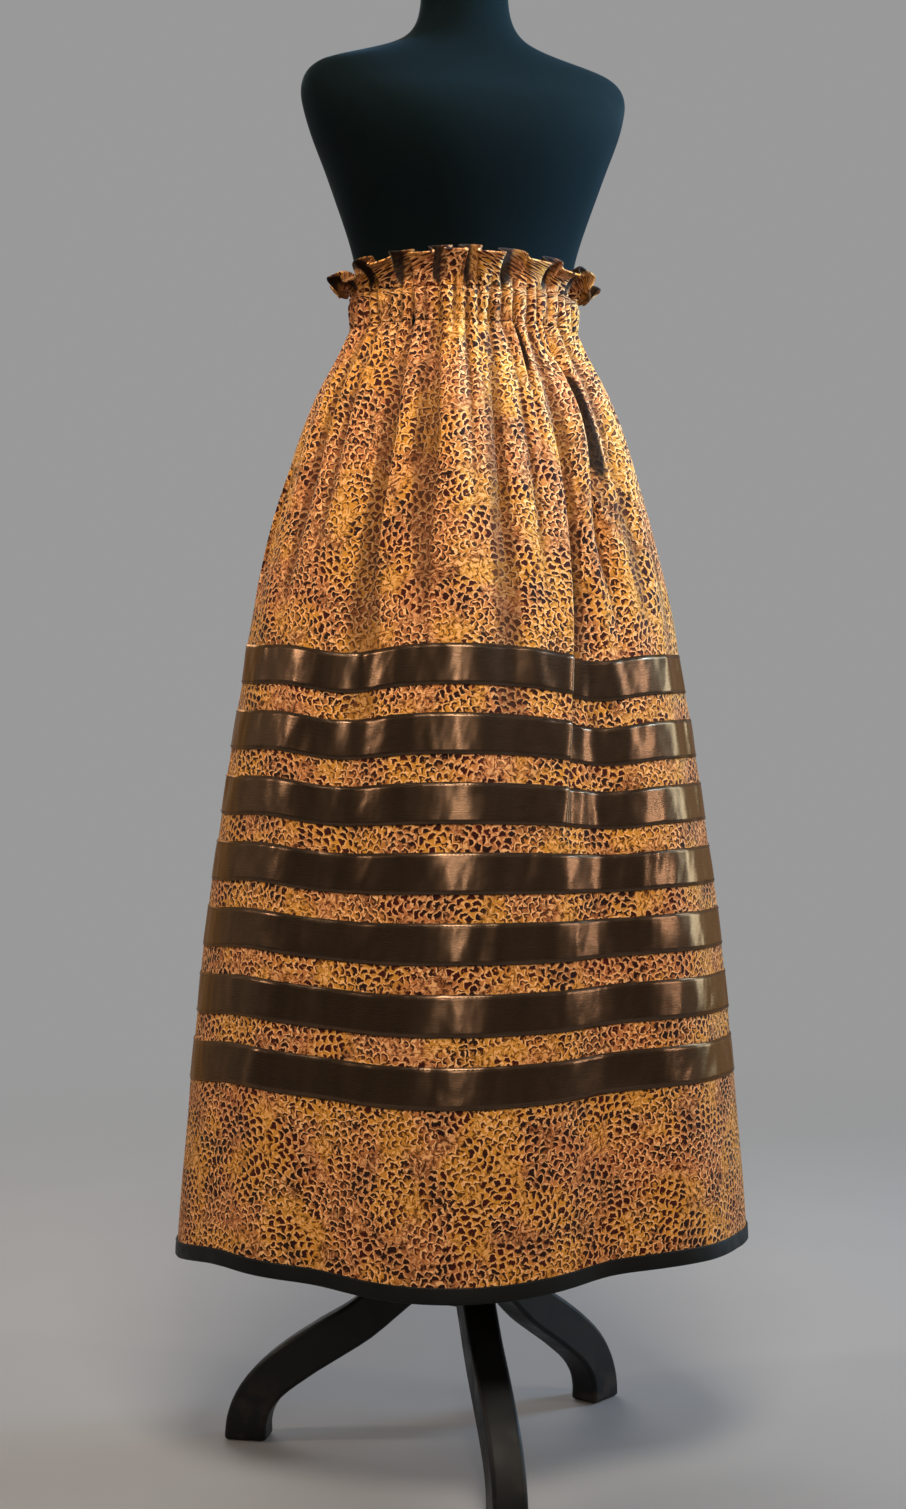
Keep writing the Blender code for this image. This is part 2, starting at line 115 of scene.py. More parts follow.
# The folds, in millimetres out of the outline at five heights: a trough is below 0 and a ridge above
FOLD_HEIGHTS = (1.092, 0.965, 0.775, 0.480, 0.200)
Fold = namedtuple("Fold", "turn_top turn_hem width_top width_hem waist hip ribbon low hem")
FOLDS = (
    Fold(-84, -86, 4.5, 8.0, -2, -4, -2, 0, 0),
    Fold(-72, -72, 4.5, 8.0, -3, -6, -3, -1, 0),
    Fold(-54, -55, 4.0, 8.0, -4, -7, -4, -2, -2),
    Fold(-43, -41, 3.5, 7.0, -4, -6, -1, 3, 6),
    Fold(-31, -31, 3.5, 6.0, -3, -5, -2, 0, 0),
    Fold(-22, -27, 4.0, 7.0, -5, -9, -11, -8, -11),
    Fold(-12.6, -12.6, 3.0, 5.0, -4, -6, -1, 0, 0),
    Fold(-7, -7, 2.8, 5.0, -4, -7, -2, 0, 0),
    Fold(1, 1, 12.0, 14.0, 0, 3, 8, 14, 24),
    Fold(6, 6, 2.8, 5.0, -4, -4, 0, 0, 0),
    Fold(14, 14, 3.2, 5.0, -4, -8, -5, -2, 0),
    Fold(19.5, 19.5, 2.6, 4.0, -3, -1, 0, 0, 0),
    Fold(25, 25, 3.0, 5.0, -4, -7, -1, 0, 0),
    Fold(38, 32, 4.0, 7.0, -4, -9, -13, -10, -15),
    Fold(47.8, 47.8, 1.6, 5.0, -5, -17, -3, 0, 0),
    Fold(58, 56, 3.4, 7.0, -3, -4, 1, 3, 4),
    Fold(67, 62, 3.0, 6.0, 2, 5, 3, 1, 0),
    Fold(75, 74, 4.0, 8.0, -3, -5, -3, -2, -2),
    Fold(87, 88, 4.5, 8.0, -2, -4, -1, 0, 0),
    Fold(99, 100, 4.0, 8.0, -4, -6, -4, -3, -4),
    Fold(112, 115, 4.0, 8.0, -4, -7, -2, 2, 5),
    Fold(123, 122, 3.5, 7.0, -4, -8, -6, -5, -6),
    Fold(137, 140, 4.0, 10.0, -3, -6, 2, 6, 12),
    Fold(149, 152, 4.0, 7.0, -5, -9, -9, -8, -12),
    Fold(161, 160, 3.0, 6.0, -4, -6, -1, 0, 0),
    Fold(172, 178, 3.5, 12.0, -4, -5, 3, 12, 25),
    Fold(184, 184, 3.0, 6.0, -5, -8, -3, 0, 0),
    Fold(196, 200, 4.0, 7.0, -4, -8, -9, -8, -12),
    Fold(209, 208, 3.5, 7.0, -4, -6, -2, 0, 0),
    Fold(221, 222, 4.0, 10.0, -3, -5, 2, 5, 10),
    Fold(234, 236, 4.0, 7.0, -4, -8, -6, -4, -6),
    Fold(247, 248, 4.0, 8.0, -4, -6, -2, 1, 3),
    Fold(260, 259, 4.0, 8.0, -3, -5, -4, -3, -3),
)

# How far the cloth is lifted by its folds, in millimetres, at the same five heights
Lift = namedtuple("Lift", "turn width waist hip ribbon low hem")
LIFTS = (
    Lift(-90, 16.0, 0, 2, 6, 5, -2),
    Lift(-50, 16.0, 0, 0, 4, 12, 11),
    Lift(-29, 9.0, 0, -4, -7, 0, 0),
    Lift(0, 16.0, 0, 2, 4, 3, -3),
    Lift(38, 8.0, 0, -4, -8, 0, 0),
    Lift(50, 20.0, 0, 0, -5, 7, 10),
    Lift(90, 16.0, 0, -1, -3, 3, 6),
    Lift(150, 14.0, 0, -3, -6, 0, 0),
    Lift(180, 40.0, 0, 0, 2, 4, 2),
    Lift(222, 14.0, 0, -3, -6, 2, 3),
)

# Creases finer than the solids', each between two heights: depth in millimetres, width in degrees
Crease = namedtuple("Crease", "turn_top turn_low top low width depth")
CREASES = (
    Crease(45.0, 45.6, 1.030, 0.900, 1.6, 2.0),
    Crease(21.6, 24.0, 1.090, 1.010, 1.3, 2.2),
    Crease(-9.4, -9.6, 1.070, 0.900, 1.2, 2.0),
    Crease(-3.6, -2.5, 1.060, 0.930, 1.0, 1.6),
    Crease(-7.6, -6.0, 1.080, 0.920, 0.9, -3.2),
    Crease(-14.5, -13.0, 1.060, 0.930, 1.0, -1.8),
    Crease(-21.0, -24.0, 1.040, 0.800, 1.3, -2.6),
    Crease(13.6, 14.6, 1.050, 0.860, 1.0, -2.2),
    Crease(30.5, 27.5, 1.040, 0.900, 1.1, -1.8),
    Crease(-54.0, -52.0, 1.040, 0.840, 1.3, -2.2),
    Crease(-43.0, -44.0, 1.030, 0.850, 1.2, -2.0),
    Crease(-34.0, -36.0, 1.020, 0.850, 1.3, -1.6),
    Crease(59.0, 61.0, 0.980, 0.760, 1.6, -2.4),
    Crease(-66.0, -64.0, 1.010, 0.820, 1.4, -1.8),
)

# Overlapping pleats between two heights. The cloth turns back under itself: width is its reach round in degrees,
# back how often it covers it, over and under how far its two layers stand out and in, in millimetres, and side
# which way it opens: 1 to the wearer's right, towards -X, and -1 to the other
Pleat = namedtuple("Pleat", "turn_top turn_low top low width back under over side")
PLEATS = (
    Pleat(45.6, 50.6, 1.070, 0.892, 2.3, 2.5, -20.0, 5.0, -1),
    Pleat(27.6, 29.4, 1.098, 1.022, 0.9, 2.6, -11.0, 3.0, -1),
    Pleat(37.0, 24.6, 1.000, 0.590, 1.5, 2.3, -7.0, 3.0, -1),
    Pleat(-20.5, -24.5, 0.990, 0.760, 1.2, 1.5, -4.0, 1.5, 1),
    Pleat(-79.0, -84.0, 0.960, 0.820, 1.5, 2.2, -5.0, 3.5, -1),
)

# How deep the gathers are at the casing, in millimetres, and how much deeper a trough is in its sharp valley
GATHER_DEPTH = 5.2
VALLEY = 0.55

# The depth in millimetres at which a fold's shade is full
DEEP_VALLEY = 3.5

FORM_YAW = 16.0

# The dress form's slices that the frill and casing sit round
WAIST_SIZES = (0.1060, 0.0790, 0.0790)


def through(stations, values, at):
    """The smooth curve through values at falling stations, read at many heights."""
    stations = np.array(stations, float)[::-1]
    values = np.array(values, float)[::-1]
    slopes = np.gradient(values, stations)
    at = np.clip(at, stations[0], stations[-1])
    i = np.clip(np.searchsorted(stations, at) - 1, 0, len(stations) - 2)
    step = stations[i + 1] - stations[i]
    u = (at - stations[i]) / step
    start = (1 + 2 * u) * (1 - u) ** 2 * values[i] + u * (1 - u) ** 2 * step * slopes[i]
    end = u * u * (3 - 2 * u) * values[i + 1] + u * u * (u - 1) * step * slopes[i + 1]
    return start + end


def bump(turn, middle, width):
    """1 at the middle of a fold, falling smoothly to 0 over about three widths on each side."""
    away = (turn - middle + 180.0) % 360.0 - 180.0
    return np.exp(-0.5 * (away / width) ** 2)


def smooth_step(low, high, at):
    u = np.clip((at - low) / (high - low), 0.0, 1.0)
    return u * u * (3 - 2 * u)


def hash_noise(x, y, seed):
    """A repeatable random number from 0 to 1 at each whole x and y."""
    value = np.sin(x * 127.1 + y * 311.7 + seed * 74.7) * 43758.5453
    return value - np.floor(value)


def soft_noise(x, y, seed):
    """Smooth noise from -1 to 1 with features one unit wide."""
    x0, y0 = np.floor(x), np.floor(y)
    u, v = smooth_step(0, 1, x - x0), smooth_step(0, 1, y - y0)
    low = hash_noise(x0, y0, seed) * (1 - u) + hash_noise(x0 + 1, y0, seed) * u
    high = hash_noise(x0, y0 + 1, seed) * (1 - u) + hash_noise(x0 + 1, y0 + 1, seed) * u
    return 2 * (low * (1 - v) + high * v) - 1


def outline(height):
    heights = [s.height for s in SECTIONS]
    return [through(heights, [s[i] for s in SECTIONS], height) for i in (1, 2, 3, 4)]


def oval(turn, half_width, front, back, yaw, out=0.0):
    """Points of an oval turned by a yaw, whose front and back depths differ, moved out square to its edge."""
    angle, turned = np.radians(turn - yaw), np.radians(yaw)
    depth = np.where(np.cos(angle) > 0, front, back)
    nx, ny = np.sin(angle) / half_width, -np.cos(angle) / depth
    size = np.hypot(nx, ny)
    x = half_width * np.sin(angle) + nx / size * out
    y = -depth * np.cos(angle) + ny / size * out
    return x * np.cos(turned) - y * np.sin(turned), x * np.sin(turned) + y * np.cos(turned)


def gather_ridge(turn, height):
    """The gathers that run from the frill through the casing into the skirt, from 0 in their sharp valleys to
    about 1 on their round ridges, and each one's own random number."""
    drift = soft_noise(turn / 9.0, height / 0.05, 21) * 0.9
    phase = (turn + drift) / 360.0 * GATHERS + 0.38 * soft_noise(turn / 16.0, 0 * turn, 25)
    own = hash_noise(np.round(phase) % GATHERS, 0.0, 27)
    return np.abs(np.cos(math.pi * phase)) ** 0.9 * (0.60 + 0.60 * own), own


def crease_push(turn, height):
    push = np.zeros_like(turn)
    for c in CREASES:
        down = np.clip((c.top - height) / (c.top - c.low), 0.0, 1.0)
        middle = c.turn_top + (c.turn_low - c.turn_top) * down
        push += bump(turn, middle, c.width * (0.7 + 0.6 * down)) * c.depth * np.sin(math.pi * down**0.7)
    ridge, own = gather_ridge(turn, height)
    fade = np.clip(1 - (WAIST - height) / (0.060 + 0.14 * own), 0.0, 1.0) ** 1.2
    return push + (ridge - 0.95) * GATHER_DEPTH * fade


def pucker_push(turn, height):
    """The small upright ripples that sewing the stiff ribbons on leaves in the cloth, and faint crumples."""
    along = turn / 360.0 * 1.5 / 0.024
    zone = smooth_step(FIRST_RIBBON + 0.05, FIRST_RIBBON, height) * smooth_step(0.31, 0.37, height)
    drift = soft_noise(along * 0.3, height / 0.09, 3) * 2.4
    ripple = soft_noise(along + drift, height / 0.055, 5) * 0.75
    ripple += soft_noise(along * 2.1 - drift, height / 0.030, 8) * 0.30
    crumple = soft_noise(along * 0.55, height / 0.06, 11) * 0.8
    crumple = crumple + soft_noise(along * 1.3, height / 0.03, 12) * 0.35
    return ripple * (0.25 + 0.75 * zone) + crumple * 0.45


def fold_push(turn, height):
    """How far the folds and creases push the cloth out, in metres. Each trough ends in a sharper valley."""
    down = (WAIST - height) / (WAIST - HEM)
    push = np.zeros_like(turn)
    for f in FOLDS:
        middle = f.turn_top + (f.turn_hem - f.turn_top) * down
        width = f.width_top + (f.width_hem - f.width_top) * down
        depth = through(FOLD_HEIGHTS, f[4:], height)
        push += bump(turn, middle, width) * depth
        away = np.abs((turn - middle + 180.0) % 360.0 - 180.0)
        sharp = VALLEY * smooth_step(0.76, 0.92, height)
        push += np.minimum(depth, 0.0) * sharp * np.exp(-away / (0.34 * width))
    return (push + crease_push(turn, height) + pucker_push(turn, height)) * MM


def valley_shade(points, reach):
    """How deep each place of a grid of cloth lies in a fold or gather, from 0 on its ridges to 1, for the shade
    painted into the valleys. It is the distance from the axis of its neighbours on both sides, at each reach in
    columns, less its own."""
    out = np.hypot(points[:, :, 0], points[:, :, 1])
    depth = np.zeros_like(out)
    for step in reach:
        sides = (np.roll(out, step, axis=1) + np.roll(out, -step, axis=1)) / 2
        depth = np.maximum(depth, (sides - out) / MM)
    depth[:, : max(reach)] = 0
    depth[:, -max(reach) :] = 0
    return np.clip(depth / DEEP_VALLEY, 0.0, 1.0)


def pleat_move(turn, height):
    """How far round, in degrees, and how far out, in metres, the overlapping pleats move the cloth, and how
    deep inside one a place lies, from 0 to 1, which sets the shadow painted into the pleat's recess."""
    around, out, inside = np.zeros_like(turn), np.zeros_like(turn), np.zeros_like(turn)
    for f in PLEATS:
        down = np.clip((f.top - height) / (f.top - f.low), 0.0, 1.0)
        strength = np.sin(math.pi * down**0.75)
        middle = f.turn_top + (f.turn_low - f.turn_top) * down
        away = (turn - middle + 180.0) % 360.0 - 180.0
        around -= f.back * strength * away * np.exp(-0.5 * (away / f.width) ** 2)
        under = np.exp(-0.5 * ((away + f.side * 1.25 * f.width) / f.width) ** 2)
        pocket = np.exp(-0.5 * ((away + f.side * 2.6 * f.width) / f.width) ** 2)
        over = np.exp(-0.5 * ((away - f.side * 0.9 * f.width) / f.width) ** 2)
        out += strength * (f.under * under + f.over * over) * MM
        inside = np.maximum(inside, strength * pocket * min(1.0, -f.under / 12.0))
    return around, out, inside


def cloth(turn, height):
    """Places on the skirt's outer face."""
    lift = sum(bump(turn, f.turn, f.width) * through(FOLD_HEIGHTS, f[2:], height) for f in LIFTS)
    around, out, _ = pleat_move(turn, height)
    x, y = oval(turn + around, *outline(height), fold_push(turn, height) + out)
    return np.stack([x, y, height + lift * MM], axis=-1)


def over_cloth(turn, height, out):
    """Places off the skirt's outer face, square to it."""
    along = cloth(turn + 0.05, height) - cloth(turn - 0.05, height)
    up = cloth(turn, height + 0.5 * MM) - cloth(turn, height - 0.5 * MM)
    normal = np.cross(along, up)
    normal /= np.linalg.norm(normal, axis=-1, keepdims=True)
    return cloth(turn, height) + normal * np.asarray(out)[..., None]


def cut_map(points, middle):
    """The flat cut's coordinates under a grid of points: lengths along each row from its middle column, and
    the mean length up the columns."""
    along = np.linalg.norm(np.diff(points, axis=1), axis=2)
    run = np.concatenate([np.zeros((len(points), 1)), np.cumsum(along, axis=1)], axis=1)
    up = np.linalg.norm(np.diff(points, axis=0), axis=2).mean(axis=1)
    rise = np.concatenate([[0.0], np.cumsum(up)])
    rise = np.repeat(rise[:, None], points.shape[1], axis=1)
    return np.stack([run - run[:, middle : middle + 1], rise], axis=-1)


def sewn_sheet(name, points, cut, closed, wall, side, shade=None):
    """A sheet of cloth: a grid whose vertices are moved to the given points, by row from the bottom and by
    column, with the flat cut as its UV map and the shade of its valleys as a value, then given its wall."""
    rows, columns = points.shape[0] - 1, points.shape[1] - 1
    made = bmesh.new()
    bmesh.ops.create_grid(made, x_segments=columns, y_segments=rows, size=0.5)
    mesh = bpy.data.meshes.new(name)
    made.to_mesh(mesh)
    made.free()
    co = np.empty(len(mesh.vertices) * 3)
    mesh.vertices.foreach_get("co", co)
    grid = np.rint((co.reshape(-1, 3)[:, :2] + 0.5) * (columns, rows)).astype(int)
    mesh.vertices.foreach_set("co", points[grid[:, 1], grid[:, 0]].ravel())
    corners = np.empty(len(mesh.loops), dtype=np.int64)
    mesh.loops.foreach_get("vertex_index", corners)
    uv = mesh.uv_layers.new(name="cut")
    uv.data.foreach_set("uv", cut[grid[:, 1], grid[:, 0]][corners].ravel())
    if shade is not None:
        value = mesh.attributes.new(name="valley", type="FLOAT", domain="POINT")
        value.data.foreach_set("value", shade[grid[:, 1], grid[:, 0]])
    if closed:
        weld(mesh, 0.00001)
    mesh.shade_smooth()
    made = bpy.data.objects.new(name, mesh)
    bpy.context.scene.collection.objects.link(made)
    solid = made.modifiers.new("wall", "SOLIDIFY")
    solid.thickness = wall
    solid.offset = side
    return made


def grid_of(columns, rows):
    """Two grids of the same shape, holding each place's column value and its row value."""
    return np.meshgrid(np.array(columns, float), np.array(rows, float))


def weld(mesh, distance):
    made = bmesh.new()
    made.from_mesh(mesh)
    bmesh.ops.remove_doubles(made, verts=made.verts, dist=distance)
    made.to_mesh(mesh)
    made.free()


def finish_piece(piece, material, slot, *nodes):
    """Paints a piece, lets it ride with the rigid part, and hides the solids it stands for."""
    piece.data.materials.clear()
    piece.data.materials.append(material)
    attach(piece, BODY)
    if nodes:
        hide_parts(*nodes)
    return piece


# Materials


class Graph:
    """Short hand for building a node tree: numbers and sockets both go in, and sockets come out."""

    def __init__(self, tree):
        self.tree = tree

    def feed(self, socket, value):
        if isinstance(value, bpy.types.NodeSocket):
            self.tree.links.new(value, socket)
        elif value is not None:
            socket.default_value = value

    def node(self, kind, inputs=(), **settings):
        made = self.tree.nodes.new(kind)
        for name, value in settings.items():
            setattr(made, name, value)
        for name, value in dict(inputs).items():
            self.feed(made.inputs[name], value)
        return made

    def math(self, operation, a, b=None, c=None, clamp=False):
        made = self.node("ShaderNodeMath", operation=operation, use_clamp=clamp)
        for i, value in enumerate((a, b, c)):
            self.feed(made.inputs[i], value)
        return made.outputs[0]

    def vector(self, operation, a, b=None, scale=None):
        made = self.node("ShaderNodeVectorMath", operation=operation)
        self.feed(made.inputs[0], a)
        self.feed(made.inputs[1], b)
        if scale is not None:
            self.feed(made.inputs["Scale"], scale)
        return made.outputs["Value" if operation == "LENGTH" else "Vector"]

    def noise(self, vector, scale, detail=2.0, roughness=0.5, out="Fac", dimensions="3D"):
        inputs = {"Vector": vector, "Scale": scale, "Detail": detail, "Roughness": roughness}
        return self.node("ShaderNodeTexNoise", inputs, noise_dimensions=dimensions).outputs[out]

    def stretch(self, value, low, high, to_low=0.0, to_high=1.0):
        """A value's span from low to high, mapped smoothly to another span."""
        inputs = {"Value": value, "From Min": low, "From Max": high, "To Min": to_low, "To Max": to_high}
        return self.node("ShaderNodeMapRange", inputs, interpolation_type="SMOOTHSTEP").outputs["Result"]

    def mix(self, share, a, b):
        made = self.node("ShaderNodeMix", data_type="RGBA")
        self.feed(made.inputs["Factor"], share)
        self.feed(made.inputs[6], a if isinstance(a, bpy.types.NodeSocket) else (*a, 1.0))
        self.feed(made.inputs[7], b if isinstance(b, bpy.types.NodeSocket) else (*b, 1.0))
        return made.outputs[2]

    def uv(self):
        return self.node("ShaderNodeUVMap", uv_map="cut").outputs["UV"]

    def place(self):
        return self.node("ShaderNodeTexCoord").outputs["Object"]

    def apart(self, vector):
        made = self.node("ShaderNodeSeparateXYZ", {"Vector": vector})
        return made.outputs["X"], made.outputs["Y"], made.outputs["Z"]

    def together(self, x, y, z=0.0):
        return self.node("ShaderNodeCombineXYZ", {"X": x, "Y": y, "Z": z}).outputs["Vector"]

    def bump(self, height, distance, strength=1.0, normal=None):
        inputs = {"Height": height, "Distance": distance, "Strength": strength, "Normal": normal}
        return self.node("ShaderNodeBump", inputs).outputs["Normal"]


def new_material(name):
    made = bpy.data.materials.new(name)
    made.use_nodes = True
    return made, Graph(made.node_tree), made.node_tree.nodes["Principled BSDF"]


def group_in_out(name, inputs, outputs):
    """A node group with named sockets, and the graph inside it. A socket is a name, a kind and a default."""
    tree = bpy.data.node_groups.new(name, "ShaderNodeTree")
    for way, sockets in (("INPUT", inputs), ("OUTPUT", outputs)):
        for socket, kind, default in sockets:
            made = tree.interface.new_socket(name=socket, in_out=way, socket_type=f"NodeSocket{kind}")
            if default is not None:
                made.default_value = default
    graph = Graph(tree)
    return tree, graph, graph.node("NodeGroupInput"), graph.node("NodeGroupOutput")


def weave_group():
    """Crossed threads: a height that rises and falls over each one."""
    tree, g, given, out = group_in_out(
        "weave", (("Vector", "Vector", None), ("Threads", "Float", 1800.0)), (("Height", "Float", None),)
    )
    x, y, _ = g.apart(given.outputs["Vector"])
    across = g.math("SINE", g.math("MULTIPLY", x, given.outputs["Threads"]))
    along = g.math("SINE", g.math("MULTIPLY", y, given.outputs["Threads"]))
    g.feed(out.inputs["Height"], g.math("MULTIPLY", across, along))
    return tree


# The print's fans are about one cell wide, with a scale's row and its radius as a share of a row
PRINT_CELL = 0.031
SCALE_ROW = 0.0060
SCALE_RADIUS = 0.80


def scale_ring_group():
    """One ring of a cone's scales. For a place by its radius, in rows, and its angle, it gives how far the
    place is from the nearest scale's middle, in scale radii, and how far outwards."""
    tree, g, given, out = group_in_out(
        "scale_ring",
        (("Radius", "Float", None), ("Angle", "Float", None), ("Ring", "Float", None)),
        (("Away", "Float", None), ("Outward", "Float", None)),
    )
    radius, angle, ring = (given.outputs[name] for name in ("Radius", "Angle", "Ring"))
    offset = g.math("MULTIPLY", ring, 0.37)
    around = g.math("MULTIPLY_ADD", angle, g.math("MULTIPLY", ring, 2 / math.pi), offset)
    in_scale = g.math("SUBTRACT", g.math("FRACT", around), 0.5)
    across = g.math("MULTIPLY", in_scale, g.math("DIVIDE", g.math("MULTIPLY", radius, math.pi / 2), ring))
    outward = g.math("SUBTRACT", radius, ring)
    squares = g.math("MULTIPLY_ADD", across, across, g.math("MULTIPLY", outward, outward))
    g.feed(out.inputs["Away"], g.math("DIVIDE", g.math("SQRT", squares), SCALE_RADIUS))
    g.feed(out.inputs["Outward"], outward)
    return tree


def cone_print_group():
    """The printed cotton's small repeat: fans of overlapping scales, each a dark crescent under a light rim,
    with fine needles between the fans."""
    tree, g, given, out = group_in_out(
        "cone_print",
        (("Vector", "Vector", None),),
        (("Dark", "Float", None), ("Light", "Float", None), ("Fan", "Float", None)),
    )
    ring_tree = scale_ring_group()
    flat = given.outputs["Vector"]
    wobble = g.vector("SUBTRACT", g.noise(flat, 150.0, 2.0, out="Color", dimensions="2D"), (0.5, 0.5, 0.5))
    warped = g.vector("ADD", flat, g.vector("SCALE", wobble, scale=0.0072))
    cells = g.node(
        "ShaderNodeTexVoronoi",
        {"Vector": warped, "Scale": 1 / PRINT_CELL, "Randomness": 0.9},
        voronoi_dimensions="2D",
    )
    turn_share, fan_share, lean_share = g.apart(cells.outputs["Color"])
    local = g.vector("SUBTRACT", warped, cells.outputs["Position"])
    angle = g.math("MULTIPLY", g.math("SUBTRACT", turn_share, 0.5), 3.4)
    spun = g.node("ShaderNodeVectorRotate", {"Vector": local, "Angle": angle}, rotation_type="Z_AXIS")
    x, y, _ = g.apart(spun.outputs["Vector"])
    oval_x = g.math("MULTIPLY", x, 1.12)
    inside = g.math("SQRT", g.math("MULTIPLY_ADD", oval_x, oval_x, g.math("MULTIPLY", y, y)))
    inside = g.math("ADD", inside, g.math("MULTIPLY", g.noise(flat, 260.0, 1.0, dimensions="2D"), 0.005))
    inside = g.stretch(inside, 0.0245, 0.0205)
    y = g.math("ADD", y, g.math("MULTIPLY_ADD", lean_share, 0.014, 0.017))
    squares = g.math("MULTIPLY_ADD", x, x, g.math("MULTIPLY", y, y))
    radius = g.math("DIVIDE", g.math("SQRT", squares), SCALE_ROW)
    theta = g.math("ARCTAN2", x, y)
    ring = g.math("MAXIMUM", g.math("FLOOR", radius), 1.0)
    first = g.node("ShaderNodeGroup", node_tree=ring_tree)
    second = g.node("ShaderNodeGroup", node_tree=ring_tree)
    for rings, number in ((first, ring), (second, g.math("ADD", ring, 1.0))):
        g.feed(rings.inputs["Radius"], radius)
        g.feed(rings.inputs["Angle"], theta)
        g.feed(rings.inputs["Ring"], number)
    beyond = g.math("GREATER_THAN", first.outputs["Away"], 1.0)
    near = g.math("SUBTRACT", 1.0, beyond)
    away, outward = (
        g.math("MULTIPLY_ADD", first.outputs[n], near, g.math("MULTIPLY", second.outputs[n], beyond))
        for n in ("Away", "Outward")
    )
    ragged = g.math("MULTIPLY", g.math("SUBTRACT", g.noise(flat, 520.0, 1.0, dimensions="2D"), 0.5), 0.35)
    away = g.math("ADD", away, ragged)
    low_edge = g.math("MULTIPLY_ADD", g.stretch(fan_share, 0.15, 0.75), 0.36, -0.04)
    crescent = g.stretch(away, g.math("SUBTRACT", low_edge, 0.12), low_edge)
    crescent = g.math("MULTIPLY", crescent, g.stretch(away, 0.78, 0.68))
    crescent = g.math("MULTIPLY", crescent, g.stretch(outward, -0.30, -0.10))
    crescent = g.math("MAXIMUM", crescent, g.stretch(radius, 0.62, 0.40))
    rim = g.math("MULTIPLY", g.stretch(away, 0.68, 0.78), g.stretch(away, 1.16, 1.04))
    rim = g.math("MULTIPLY", rim, g.stretch(outward, -0.05, 0.25))
    drawn = g.vector("MULTIPLY", spun.outputs["Vector"], (430.0, 190.0, 1.0))
    needles = g.noise(drawn, 1.0, 1.0, dimensions="2D")
    between = g.math("SUBTRACT", 1.0, inside)
    dark_needles = g.math("MULTIPLY", g.stretch(needles, 0.52, 0.62, 0.0, 0.85), between)
    light_needles = g.math("MULTIPLY", g.stretch(needles, 0.47, 0.38, 0.0, 0.75), between)
    dark = g.math("MULTIPLY_ADD", crescent, inside, dark_needles)
    light = g.math("MULTIPLY_ADD", rim, inside, light_needles)
    g.feed(out.inputs["Dark"], dark)
    g.feed(out.inputs["Light"], light)
    g.feed(out.inputs["Fan"], fan_share)
    return tree


# Linear colours of the print, and of the shade painted into its folds
GOLD = (0.62, 0.258, 0.028)
PEACH = (0.50, 0.172, 0.056)
TAN = (0.25, 0.078, 0.022)
CREAM = (0.94, 0.52, 0.22)
MAROON = (0.048, 0.0035, 0.0014)
SOOT = (0.016, 0.0032, 0.0020)
# Painted shade for the folds' valleys, and a near-black painted shadow for the pleats' recesses and the frill's
# shaded wave sides
VALLEY_PAINTED_SHADE = (0.075, 0.022, 0.006)
DEEP_PAINTED_SHADOW = (0.0025, 0.0014, 0.0010)


def printed_cotton():
    made, g, shader = new_material("printed_cotton")
    flat = g.uv()
    fans = g.node("ShaderNodeGroup", node_tree=cone_print_group())
    g.feed(fans.inputs["Vector"], flat)
    fan = fans.outputs["Fan"]
    tone = g.noise(flat, 15.0, 2.0, dimensions="2D")
    ground = g.mix(g.stretch(tone, 0.40, 0.60), GOLD, PEACH)
    patches = g.noise(flat, 30.0, 2.0, dimensions="2D")
    ground = g.mix(g.stretch(patches, 0.50, 0.70, 0.0, 0.75), ground, TAN)
    light = g.math("MULTIPLY", fans.outputs["Light"], g.stretch(fan, 0.0, 0.7, 0.60, 0.95))
    ground = g.mix(light, ground, CREAM)
    ink = g.mix(g.stretch(patches, 0.40, 0.60), MAROON, SOOT)
    depth = g.math("MULTIPLY", fans.outputs["Dark"], g.stretch(fan, 0.95, 0.5, 0.90, 1.0))
    printed = g.mix(depth, ground, ink)
    # Painted shade: the value valley darkens the print towards brown in folds and gathers, and towards near
    # black in the pleats' recesses and on the shaded sides of the frill's waves
    valley = g.node("ShaderNodeAttribute", attribute_name="valley").outputs["Fac"]
    shaded = g.mix(g.stretch(valley, 0.15, 1.0, 0.0, 0.60), printed, VALLEY_PAINTED_SHADE)
    g.feed(shader.inputs["Base Color"], g.mix(g.stretch(valley, 0.9, 1.6, 0.0, 0.92), shaded, DEEP_PAINTED_SHADOW))
    weave = g.node("ShaderNodeGroup", node_tree=bpy.data.node_groups["weave"])
    g.feed(weave.inputs["Vector"], flat)
    slubs = g.math("MULTIPLY_ADD", g.noise(flat, 900.0, 2.0, dimensions="2D"), 1.2, weave.outputs["Height"])
    g.feed(shader.inputs["Normal"], g.bump(slubs, 0.00012, 0.5))
    g.feed(shader.inputs["Roughness"], g.stretch(tone, 0.3, 0.7, 0.78, 0.9))
    shader.inputs["Sheen Weight"].default_value = 0.03
    shader.inputs["Sheen Roughness"].default_value = 0.5
    shader.inputs["Sheen Tint"].default_value = (1.0, 0.86, 0.68, 1.0)
    shader.inputs["Specular IOR Level"].default_value = 0.2
    return made


